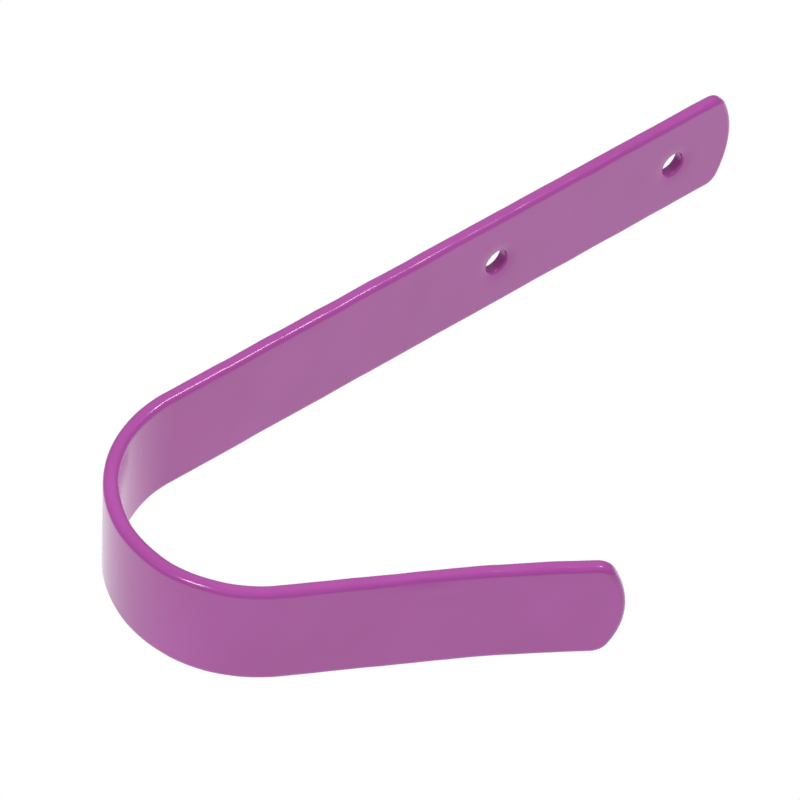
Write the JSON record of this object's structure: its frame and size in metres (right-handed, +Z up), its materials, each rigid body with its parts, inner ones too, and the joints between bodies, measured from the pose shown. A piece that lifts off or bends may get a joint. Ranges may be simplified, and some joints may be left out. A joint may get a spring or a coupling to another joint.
{
  "type": "wall hook",
  "caption": "J-shaped wall hook bent from flat steel bar, coated all over in smooth purple plastic, with a straight drilled arm for screws and a short arm that flares at its tip.",
  "frame": {"origin": "midway between the two screw holes, on the coated back face of the long arm, which rests against the wall", "axes": "+Z up the long arm, +Y into the wall, +X across the bar's width; the hook opens upwards and stands out towards -Y"},
  "size_m": [0.031, 0.1154, 0.2274],
  "materials": {
    "bar_steel": "hot-rolled mild steel, sealed under the coating",
    "purple_plastic": "smooth semi-gloss fused plastic coating"
  },
  "bodies": {
    "root": {"steel_bar": "bar_steel", "plastic_coating": "purple_plastic"}
  },
  "joints": []
}
